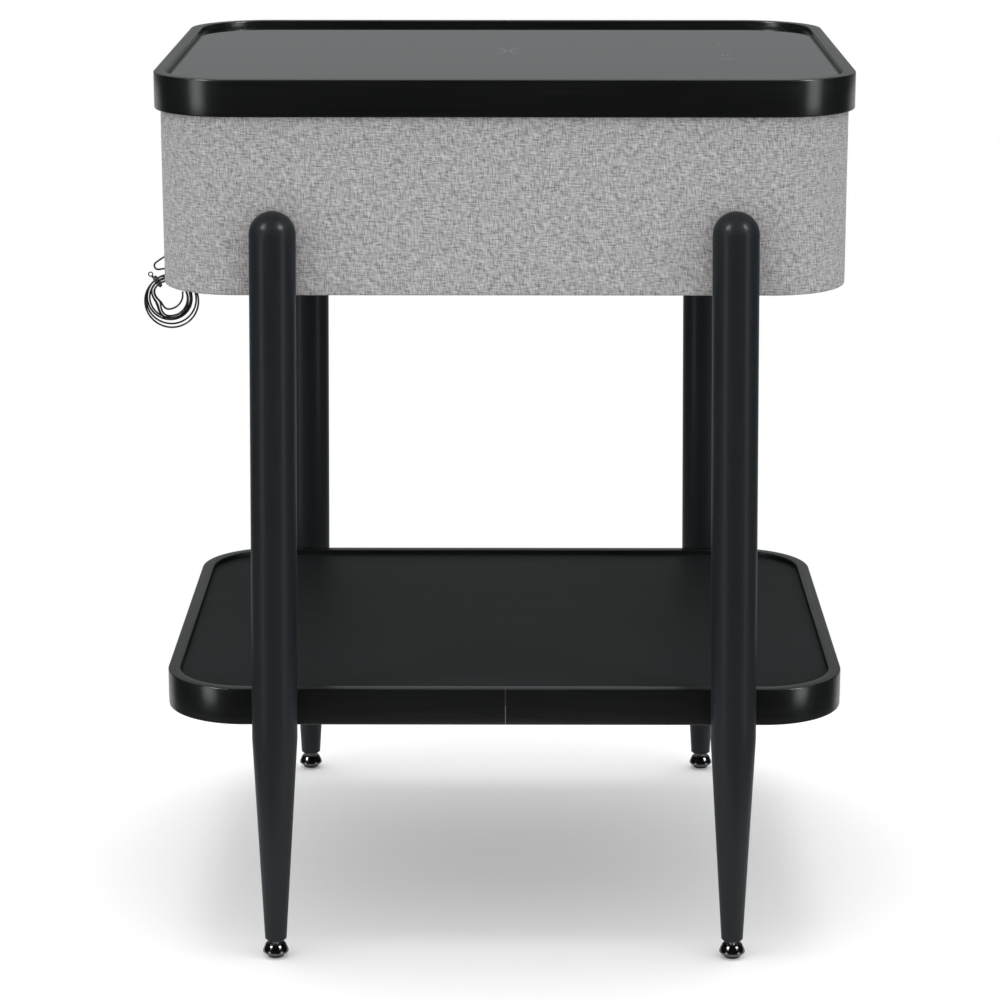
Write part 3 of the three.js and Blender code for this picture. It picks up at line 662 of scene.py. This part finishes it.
def makeAerialWire(spec):
    start = coilPoint(spec, 0)
    heading = coilPoint(spec, 0.002) - start
    heading.y = 0
    heading.normalize()
    coil = [start - spec["stub"] * heading, start - spec["stub"] / 2 * heading]
    steps = round(spec["turns"] * spec["stepsPerTurn"])
    coil += [coilPoint(spec, step * spec["turns"] / steps) for step in range(steps + 1)]
    coil.append(coil[-1] + (coil[-1] - coil[-2]).normalized() * 2 * spec["wireRadius"])
    tip = Vector(spec["tip"])
    lead = [tip + Vector((-left, along, up)) for left, along, up in spec["lead"]]
    joint = coil[0] - spec["approach"][0] * heading
    lead += [joint - spec["approach"][1] * heading, joint]
    line = smoothLine([tip] + lead + coil, spec["smoothSteps"])
    wire = wirePiece("aerial_wire", "wire_sleeve", spec["wireRadius"], line)
    return wire, lineLength(line) * mm, heading


aerialWire, aerialLength, tieHeading = makeAerialWire(aerial)
print("aerial:", round(aerialLength, 4), "m")

# Two turns of thin wire round the bundle, then a twisted tail with an eye at its end
tie = {
    "radius": 4.4, "wire": 0.45, "turns": 2.25, "pitch": 1.0, "stepsPerTurn": 32,
    "standOff": 0.6, "tail": 0.9, "twist": 0.5, "twistTurns": 1.5, "twistSteps": 20, "twistFrom": 3,
    "eye": 1.6, "eyeTurn": 320, "eyeSteps": 16,
}


def makeTie(spec, heading):
    angle = math.radians(aerial["startAngle"])
    out = Vector((math.cos(angle), 0, math.sin(angle)))
    middle = Vector(aerial["middle"]) + aerial["radius"] * out
    side = heading.cross(out)
    spots = []
    perTurn = spec["stepsPerTurn"]
    steps = round(spec["turns"] * perTurn)
    for step in range(steps + 1):
        turn = 2 * math.pi * (step / perTurn - spec["turns"] + 1)
        along = (step / steps - 0.5) * spec["turns"] * spec["pitch"]
        spots.append(spec["radius"] * (out * math.cos(turn) + side * math.sin(turn)) + heading * along)
    lift = heading * (spec["turns"] / 2 * spec["pitch"])
    root = spec["radius"] + spec["standOff"]

    def twisted(step, phase):
        share = step / spec["twistSteps"]
        turn = 2 * math.pi * spec["twistTurns"] * share + phase
        reach = root + spec["tail"] * share
        return out * reach + lift + spec["twist"] * (side * math.cos(turn) + heading * math.sin(turn))

    twist = range(spec["twistFrom"], spec["twistSteps"] + 1)
    spots += [twisted(step, 0) for step in twist]
    eye = out * (root + spec["tail"] + spec["eye"]) + lift
    for step in range(1, spec["eyeSteps"]):
        turn = math.radians(spec["eyeTurn"] * (step / spec["eyeSteps"] - 0.5))
        spots.append(eye + spec["eye"] * (out * math.cos(turn) + heading * math.sin(turn)))
    spots += [twisted(step, math.pi) for step in reversed(twist)]
    return wirePiece("aerial_wrap", "black_plastic", spec["wire"], [middle + spot for spot in spots])


wrap = makeTie(tie, tieHeading)

# Its profile is (radius, distance out of the wall)
grommet = {
    "middle": (-245.2, -60, 497), "flange": 5, "nose": 1.6, "length": 4.8,
    "bore": 0.7, "neck": 3.1, "tail": 8,
}


def makeGrommet(spec):
    reach, flange, nose, bore, neck = (spec[key] for key in ("length", "flange", "nose", "bore", "neck"))
    profile = [
        (bore, -spec["tail"]), (neck, -spec["tail"]), (neck, 0), (flange - 0.4, 0), (flange, 0.4),
        (flange, 1.2), (flange - 0.4, 1.6), (2.6, 1.7), (2.2, 2.0), (1.9, 3.0),
        (nose, reach - 0.4), (nose - 0.3, reach), (bore, reach),
    ]
    piece = turned("aerial_grommet", "black_rubber", profile, (0, 0), 32, closed=True)
    for vertex in piece.data.vertices:
        x, y, z = vertex.co
        vertex.co = (Vector((-z, y, x)) + Vector(spec["middle"])) * mm
    piece.data.flip_normals()
    return piece


collar = makeGrommet(grommet)
settle(aerialWire, "frame", "aerial_lead", "aerial_coil")
settle(wrap, "frame", "aerial_tie")
settle(collar, "frame", "aerial_gland")
print("aerial made")

tray = {
    "low": 0.617, "high": 0.643, "wall": 0.009, "edge": 0.0008,
    "seamAcross": 0.001, "seamGap": 0.00001, "seamEase": 0.00015,
    "glassInset": 0.0093, "glassLow": 0.6353, "glassHigh": 0.6393, "arris": 0.0005,
}


def stripSection(spec):
    low, high = spec["low"], spec["high"]
    return roundSection([(0, low), (0, high), (spec["wall"], high), (spec["wall"], low)], spec["edge"])


traySeam = outline(tray["seamAcross"], tray["seamGap"], back=True)
trayStrip = sweep("tray_strip", "black_strip", traySeam, stripSection(tray), ease=tray["seamEase"])
settle(trayStrip, "frame", "top_rim")


def easedRings(inset, low, high, arris):
    return [
        (inset + arris, low), (inset + 0.3 * arris, low + 0.3 * arris), (inset, low + arris),
        (inset, high - arris), (inset + 0.3 * arris, high - 0.3 * arris), (inset + arris, high),
    ]


glassRings = easedRings(tray["glassInset"], tray["glassLow"], tray["glassHigh"], tray["arris"])
settle(plate("tray_glass", "black_glass", glassRings), "frame", "glass_top")

# Plain printed marks: one where a phone is laid to charge, and five touch keys
marks = {
    "level": 0.63931, "thick": 0.00001, "stroke": 0.0011,
    "charge": (0.0022, 0.0105), "chargeHalf": (0.0085, 0.021), "waist": 0.0016, "arcSteps": 16,
    "keys": (0.165, (0.06, 0.035, 0.01, -0.015, -0.04)), "keySize": 0.0036,
}


# Flat strokes, each a line of points on the glass, joined into one thin print
def makeMarks(spec, strokes):
    verts, faces = [], []
    half = spec["stroke"] / 2
    for line in strokes:
        base = len(verts)
        for index, here in enumerate(line):
            before, after = line[max(index - 1, 0)], line[min(index + 1, len(line) - 1)]
            heading = (after - before).normalized()
            side = Vector((-heading.y, heading.x)) * half
            for height in (spec["level"], spec["level"] + spec["thick"]):
                verts += [(*(here - side), height), (*(here + side), height)]
        last = base + 4 * (len(line) - 1)
        faces += [(base, base + 1, base + 3, base + 2), (last, last + 2, last + 3, last + 1)]
        for low in range(base, last, 4):
            high = low + 4
            faces += [
                (low, high, high + 1, low + 1), (low + 2, low + 3, high + 3, high + 2),
                (low, low + 2, high + 2, high), (low + 1, high + 1, high + 3, low + 3),
            ]
    return meshPiece("tray_marks", "printGrey", verts, faces)


def markStrokes(spec):
    middle = Vector(spec["charge"])
    halfWidth, halfDepth = spec["chargeHalf"]
    strokes = []
    half = spec["arcSteps"] // 2
    for side in (-1, 1):
        arc = []
        for step in range(spec["arcSteps"] + 1):
            t = step / half - 1
            arc.append(middle + Vector((side * (spec["waist"] + halfWidth * t * t), halfDepth * t)))
        strokes.append(arc)
    openRing = [math.radians(120 + 30 * step) for step in range(11)]
    signs = [
        [[(-1, 0), (1, 0)], [(0, -1), (0, -0.16)], [(0, 0.16), (0, 1)]],
        [[(-1, 0), (1, 0)]],
        [[(-0.7, -1), (1, 0), (-0.7, 1)]],
        [[(-0.5, -1), (-0.5, 1)], [(0.5, -1), (0.5, 1)]],
        [[(math.cos(turn), math.sin(turn)) for turn in openRing], [(0, 0.3), (0, 1.1)]],
    ]
    x, places = spec["keys"]
    for y, sign in zip(places, signs):
        for line in sign:
            strokes.append([Vector((x, y)) + spec["keySize"] * Vector(point) for point in line])
    return strokes


settle(makeMarks(marks, markStrokes(marks)), "frame")
print("tray made")

drum = {
    "inset": 0.0045, "cloth": 0.0008, "top": 0.6167, "bottom": 0.49, "hem": 0.012,
    "edgeOut": 0.0022, "edgeIn": 0.0014, "edgeSteps": 5, "seamAcross": 0.001, "seamGap": 0.00006,
    "wallRows": 14, "stray": 0.00012, "stillLow": 0.004, "stillHigh": 0.001,
}


def makeCloth(spec):
    outer, inner = spec["inset"], spec["inset"] + spec["cloth"]
    top, bottom = spec["top"], spec["bottom"]
    hemEnd = outer + spec["hem"]
    corners = [
        (outer, bottom), (outer, top), (inner, top), (inner, bottom + spec["cloth"]),
        (hemEnd, bottom + spec["cloth"]), (hemEnd, bottom),
    ]
    edgeSteps = spec["edgeSteps"]
    section = roundSection(corners, [spec["edgeOut"], 0, 0, spec["edgeIn"], 0, 0], edgeSteps)
    # Level rows up the wall, so that the cloth can stray a little
    wallRows = spec["wallRows"]
    foot = bottom + spec["edgeOut"]
    rows = [(outer, foot + (top - foot) * row / wallRows) for row in range(1, wallRows)]
    full = section[: edgeSteps + 1] + rows + section[edgeSteps + 1 :]
    rng = random.Random(5)
    waves = [(rng.uniform(9, 40), rng.uniform(8, 40), rng.uniform(0, 6.28)) for _ in range(6)]

    def stray(along, height):
        if height < bottom + spec["stillLow"] or height > top - spec["stillHigh"]:
            return 0
        return spec["stray"] * sum(math.sin(a * along + b * height + c) for a, b, c in waves) / len(waves)

    seam = outline(spec["seamAcross"], spec["seamGap"], back=True)
    return sweep("drum_wrap", "grey_cloth", seam, full, stray)


cloth = settle(makeCloth(drum), "frame", "drum_cloth")

# The power socket in the drum's floor, with its mouth downwards: profiles of (radius, height)
socket = {"place": (0.15, 0.15), "mouth": 493.9, "flange": 7.5, "body": 5.5, "bore": 2.75, "pin": 1.0}


def makeSocket(spec):
    mouth, flange, body, bore = (spec[key] for key in ("mouth", "flange", "body", "bore"))
    profile = [
        (bore, mouth + 10), (bore, mouth + 0.7), (bore + 0.5, mouth + 0.25), (body - 0.9, mouth + 0.25),
        (body - 0.6, mouth), (flange - 0.4, mouth), (flange, mouth + 0.4), (flange, mouth + 1.8),
        (body, mouth + 1.8), (body, mouth + 17.6), (body - 0.4, mouth + 18), (0.0001, mouth + 18),
    ]
    rings = [(radius * mm, height * mm, spec["place"]) for radius, height in profile]
    settle(ringMesh("inlet_socket", "black_plastic", rings, 48), "frame", "dc_inlet")
    pin = spec["pin"]
    profile = [(0.0001, mouth + 1.2), (pin - 0.35, mouth + 1.2), (pin, mouth + 1.7), (pin, mouth + 10)]
    rings = [(radius * mm, height * mm, spec["place"]) for radius, height in profile]
    settle(ringMesh("inlet_pin", "steel", rings, 24), "frame")


makeSocket(socket)
print("drum made")

shelf = {
    "low": 0.173, "high": 0.2, "wall": 0.009, "edge": 0.0008,
    "seamAcross": 0.001, "seamGap": 0.00006, "seamEase": 0.0003,
    "boardInset": 0.0093, "boardLow": 0.1845, "boardHigh": 0.1965, "arris": 0.0003,
}
shelfSeam = outline(shelf["seamAcross"], shelf["seamGap"])
# The shelf strip's cut ends at the front seam get the pale raw edge colour, with its painted highlight
shelfStrip = sweep(
    "shelf_strip", "black_strip", shelfSeam, stripSection(shelf), ease=shelf["seamEase"], rawAndGlintEnds=True
)
settle(shelfStrip, "frame", "shelf_band")
boardRings = easedRings(shelf["boardInset"], shelf["boardLow"], shelf["boardHigh"], shelf["arris"])
settle(plate("shelf_board", "black_board", boardRings), "frame", "shelf_panel")

# Button-head screws that hold the legs, seen from under the shelf
screw = {
    "height": 0.1786, "head": 0.1907, "headRadius": 4.6, "headHeight": 3.5, "shank": 2.5, "length": 23.6,
    "hexFlat": 2.0, "hexDepth": 2.0, "domeTurns": (0.62, 0.8, 1.0, 1.2, 1.4), "domePower": 0.8,
}


def makeShelfScrew(spec, name, across, away):
    flat, reach = spec["hexFlat"], spec["headHeight"]

    def hexagon(angle, height):
        return flat / math.cos((angle % (math.pi / 3)) - math.pi / 6)

    head = spec["headRadius"]
    profile = [(hexagon, spec["hexDepth"] - reach), (hexagon, -reach + 0.05)]
    for turn in spec["domeTurns"]:
        profile.append((head * math.sin(turn), -reach * math.cos(turn) ** spec["domePower"]))
    profile += [(head, -0.2), (head - 0.15, 0), (spec["shank"], 0)]
    profile += [(spec["shank"], spec["length"] - 0.6), (spec["shank"] - 0.6, spec["length"])]
    rings = [(radius, height, (0, 0)) for radius, height in profile]
    made = ringMesh(name + "_shelf_screw", "steel", rings, 48, sharp=40)
    x = across * legMiddle(leg, spec["height"])[0]
    for vertex in made.data.vertices:
        left, front, up = vertex.co
        vertex.co = (x + away * left * mm, away * (spec["head"] + up * mm), spec["height"] + front * mm)
    settle(made, "frame", name + "_shelf_bolt")


print("shelf made")

corners = {
    "front_left": (-1, -1),
    "front_right": (1, -1),
    "back_left": (-1, 1),
    "back_right": (1, 1),
}
leg = {
    "radius": 0.0165, "top": (0.1625, 0.2085), "foot": (0.168, 0.217), "domeHeight": 0.536,
    "taperHeight": 0.168, "endHeight": 0.0135, "endRadius": 0.0079, "chamfer": 0.0008,
    "bore": 0.0052, "boreTop": 0.036, "segments": 64, "taperSteps": 24, "postSteps": 40, "domeSteps": 16,
    "drumFace": 0.1955, "drumLow": 0.4897, "drumHigh": 0.7,
    "shelfFace": 0.2002, "shelfLow": 0.1728, "shelfHigh": 0.2002, "cutReach": 0.3,
}


def legMiddle(spec, height):
    lean = 1 - min(height, spec["domeHeight"]) / spec["domeHeight"]
    return [top + (foot - top) * lean for top, foot in zip(spec["top"], spec["foot"])]


def legRadius(spec, height):
    if height >= spec["taperHeight"]:
        return spec["radius"]
    share = (height - spec["endHeight"]) / (spec["taperHeight"] - spec["endHeight"])
    return spec["endRadius"] + (spec["radius"] - spec["endRadius"]) * share


def cutAway(piece, name, low, high):
    box = bpy.data.meshes.new(name)
    work = bmesh.new()
    bmesh.ops.create_cube(work, size=1)
    for vertex in work.verts:
        for axis in range(3):
            vertex.co[axis] = (low, high)[vertex.co[axis] > 0][axis]
    work.to_mesh(box)
    work.free()
    tool = bpy.data.objects.new(name, box)
    scene.collection.objects.link(tool)
    modifier = piece.modifiers.new(name, "BOOLEAN")
    modifier.operation = "DIFFERENCE"
    modifier.solver = "EXACT"
    modifier.object = tool
    return tool


# The shape that the modifiers give is kept as the piece's own mesh
def applyAll(piece, tools):
    bpy.context.view_layer.update()
    shaped = bpy.data.meshes.new_from_object(piece.evaluated_get(bpy.context.evaluated_depsgraph_get()))
    piece.modifiers.clear()
    piece.data = shaped
    for tool in tools:
        bpy.data.objects.remove(tool)
    shaped.shade_smooth()
    shaped.set_sharp_from_angle(angle=math.radians(30))


def makeLeg(spec, name, across, away):
    end, chamfer, taper, dome = (spec[key] for key in ("endHeight", "chamfer", "taperHeight", "domeHeight"))
    taperSteps, postSteps, domeSteps = spec["taperSteps"], spec["postSteps"], spec["domeSteps"]
    low = end + chamfer
    heights = [low + (taper - low) * step / taperSteps for step in range(taperSteps + 1)]
    heights += [taper + (dome - taper) * step / postSteps for step in range(1, postSteps + 1)]

    def middle(height):
        x, y = legMiddle(spec, height)
        return (across * x, away * y)

    rings = [(spec["bore"], end, middle(end)), (spec["endRadius"] - chamfer, end, middle(end))]
    rings += [(legRadius(spec, height), height, middle(height)) for height in heights]
    for step in range(1, domeSteps):
        angle = math.pi / 2 * step / domeSteps
        height = dome + spec["radius"] * math.sin(angle)
        rings.append((spec["radius"] * math.cos(angle), height, middle(height)))
    topHeight = dome + spec["radius"]
    rings.append((0.00005, topHeight, middle(topHeight)))
    rings = [(spec["bore"], spec["boreTop"], middle(end))] + rings
    post = ringMesh(name + "_post", "charcoal_leg", rings, spec["segments"])
    tools = []
    for label in ("drum", "shelf"):
        face, low, high = spec[label + "Face"], spec[label + "Low"], spec[label + "High"]
        near, far = sorted((0, away * face))
        reach = spec["cutReach"]
        tools.append(cutAway(post, name + label, (-reach, near, low), (reach, far, high)))
    applyAll(post, tools)
    return post


# The pad's and cap's profiles are (radius, height), in millimetres like the thread's sizes
foot = {
    "pad": [(0.0001, 0), (5.2, 0), (5.8, 0.3), (6.2, 1.0), (6.4, 1.9), (0.0001, 1.9)],
    "cap": [
        (0.0001, 2.2), (6.6, 2.2), (7.2, 2.35), (8.2, 2.9), (9.0, 3.6), (9.5, 4.2), (9.6, 4.6), (9.5, 5.1),
        (9.25, 5.9), (8.9, 6.8), (8.45, 7.8), (8.0, 8.7), (7.6, 9.5), (7.3, 10.0), (7.0, 10.3), (6.6, 10.45),
        (6.0, 10.5), (3.2, 10.5), (3.15, 10.3), (3.15, 3.5), (0.0001, 3.5),
    ],
    "studRadius": 3.0, "rootRadius": 2.5, "studLow": 3.8, "studHigh": 32, "pitch": 1.0,
    "runOut": 0.8, "play": 0.02, "stepsPerPitch": 8,
}


def makeFoot(spec, name, across, away):
    middle = (across * leg["foot"][0], away * leg["foot"][1])
    pad = turned(name + "_pad", "black_plastic", [(r * mm, z * mm) for r, z in spec["pad"]], middle, 48)
    cap = turned(name + "_cap", "dark_chrome", [(r * mm, z * mm) for r, z in spec["cap"]], middle, 64, 50)
    settle(pad, name + "_foot", name + "_foot_pad")
    settle(cap, name + "_foot", name + "_foot_cap")
    low, high, pitch = spec["studLow"], spec["studHigh"], spec["pitch"]
    depth = spec["studRadius"] - spec["rootRadius"]

    def thread(angle, height):
        place = (height / mm / pitch - angle / (2 * math.pi)) % 1
        ridge = min(1, max(0, 1.75 - 2.5 * abs(2 * place - 1)))
        ends = min(1, max(0, min(height / mm - low, high - height / mm) / spec["runOut"]))
        return (spec["rootRadius"] + depth * ridge * ends - spec["play"]) * mm

    steps = round((high - low) / pitch * spec["stepsPerPitch"])
    rings = [(thread, (low + (high - low) * step / steps) * mm, middle) for step in range(steps + 1)]
    stud = ringMesh(name + "_stud", "steel", rings, 24, sharp=60)
    settle(stud, name + "_screw", name + "_foot_screw")


for name, (across, away) in corners.items():
    post = makeLeg(leg, name, across, away)
    settle(post, "frame", name + "_leg")
    makeFoot(foot, name, across, away)
    makeShelfScrew(screw, name, across, away)
print("legs and feet made")

# "Away" is how far back a direction points and "up" how far up, where 1 is straight back or up:
# each pair is where a step starts and ends
studio = {
    "floorRadius": 0.52, "floorDrop": 0.0002, "floorColour": 0.9, "floorLift": 0.15,
    "skyFill": 0.98, "lowFill": 0.45, "skyUp": (-0.04, 0.04),
    "frontFill": 0.3, "frontAway": (-0.1, 0.5), "frontUp": (0.35, 0.6),
    "glossTint": (0.955, 1.0, 1.005), "frontGlow": 0.03,
    "backGlow": 0.31, "backAway": (0.55, 0.85), "backUp": (-0.2, 0.05),
    "sweepGlow": 1, "sweepAway": (0.5, 0.8), "sweepUp": (-0.14, -0.06),
    "boxAzimuth": (-0.94, 0.99), "boxWidth": 0.29,
    "boxGlow": 4.4, "boxRise": (-0.36, -0.16), "boxFall": (0.1, 0.3),
    "boxTopGlow": 42, "boxTopRise": (0.42, 0.56), "boxTopFall": (0.68, 0.82),
    "key": {"place": (0, 0.08, 2.6), "aim": (0, 0, 0.4), "size": (1.5, 1.5), "power": 28},
}


def makeFloor(spec):
    disc = bpy.data.meshes.new("floor")
    work = bmesh.new()
    bmesh.ops.create_circle(work, cap_ends=True, segments=96, radius=spec["floorRadius"])
    work.to_mesh(disc)
    work.free()
    floor = bpy.data.objects.new("floor", disc)
    floor.location.z = -spec["floorDrop"]
    scene.collection.objects.link(floor)
    material, start = newFinish("paleFloor")
    seen = start.node("ShaderNodeLightPath")
    lift = (seen + seen.other("Is Glossy Ray") + seen.other("Is Transmission Ray")) * spec["floorLift"]
    white = [spec["floorColour"]] * 3
    shade(material, Base_Color=white, Roughness=1, Specular_IOR_Level=0, Emission_Color=(1, 1, 1))
    setSockets(material.node_tree, material.node_tree.nodes["Principled BSDF"], {"Emission Strength": lift})
    disc.materials.append(material)


def makeLamp(name, spec):
    lamp = bpy.data.lights.new(name, "AREA")
    lamp.shape = "RECTANGLE"
    lamp.size, lamp.size_y = spec["size"]
    lamp.energy = spec["power"]
    holder = bpy.data.objects.new(name, lamp)
    holder.location = spec["place"]
    heading = Vector(spec["aim"]) - Vector(spec["place"])
    holder.rotation_euler = heading.to_track_quat("-Z", "Y").to_euler()
    holder.visible_glossy = False  # gloss sees the soft boxes of the world instead
    scene.collection.objects.link(holder)


# As gloss sees it: a white sweep low behind, a pale backdrop over it, a dark room in front and a
# tall soft box on each side. The rest gets an even fill, with more from the front
def makeWorld(spec):
    world = bpy.data.worlds.new("studio")
    world.use_nodes = True
    scene.world = world
    start = Wire(world.node_tree)
    seen = start.node("ShaderNodeLightPath")
    glossy = seen.other("Is Glossy Ray")
    direct = start.math("MINIMUM", seen + seen.other("Is Transmission Ray"), 1)
    heading = start.node("ShaderNodeTexCoord", {}, {}, "Generated")
    across = start.node("ShaderNodeSeparateXYZ", {}, {"Vector": heading})
    away, up = across.other("Y"), across.other("Z")
    azimuth = start.math("ARCTAN2", across, -away)
    backdrop = away.step(*spec["backAway"]) * up.step(*spec["backUp"])
    glow = backdrop * (spec["backGlow"] - spec["frontGlow"]) + spec["frontGlow"]
    low = up.band(spec["boxRise"], spec["boxFall"]) * spec["boxGlow"]
    boxes = low + up.band(spec["boxTopRise"], spec["boxTopFall"]) * spec["boxTopGlow"]
    for middle in spec["boxAzimuth"]:
        offset = start.math("ABSOLUTE", azimuth - middle)
        glow = glow + boxes * (1 - offset.step(0.05 * spec["boxWidth"], spec["boxWidth"]))
    sweepBehind = away.step(*spec["sweepAway"]) * (1 - up.step(*spec["sweepUp"]))
    glow = glow + sweepBehind * (spec["sweepGlow"] - spec["backGlow"])
    front = (-away).step(*spec["frontAway"]) * (1 - start.math("ABSOLUTE", up).step(*spec["frontUp"]))
    sky = up.step(*spec["skyUp"]) * (spec["skyFill"] - spec["lowFill"]) + spec["lowFill"]
    fill = front * spec["frontFill"] + sky
    level = direct + (1 - direct) * (glossy * glow + (1 - glossy) * fill)
    back = world.node_tree.nodes["Background"]
    tint = start.blend(glossy, (1, 1, 1), spec["glossTint"])
    setSockets(world.node_tree, back, {"Color": tint, "Strength": level})


makeFloor(studio)
makeLamp("key", studio["key"])
makeWorld(studio)
scene.view_settings.view_transform = "Standard"
print("floor, lamps and world made")
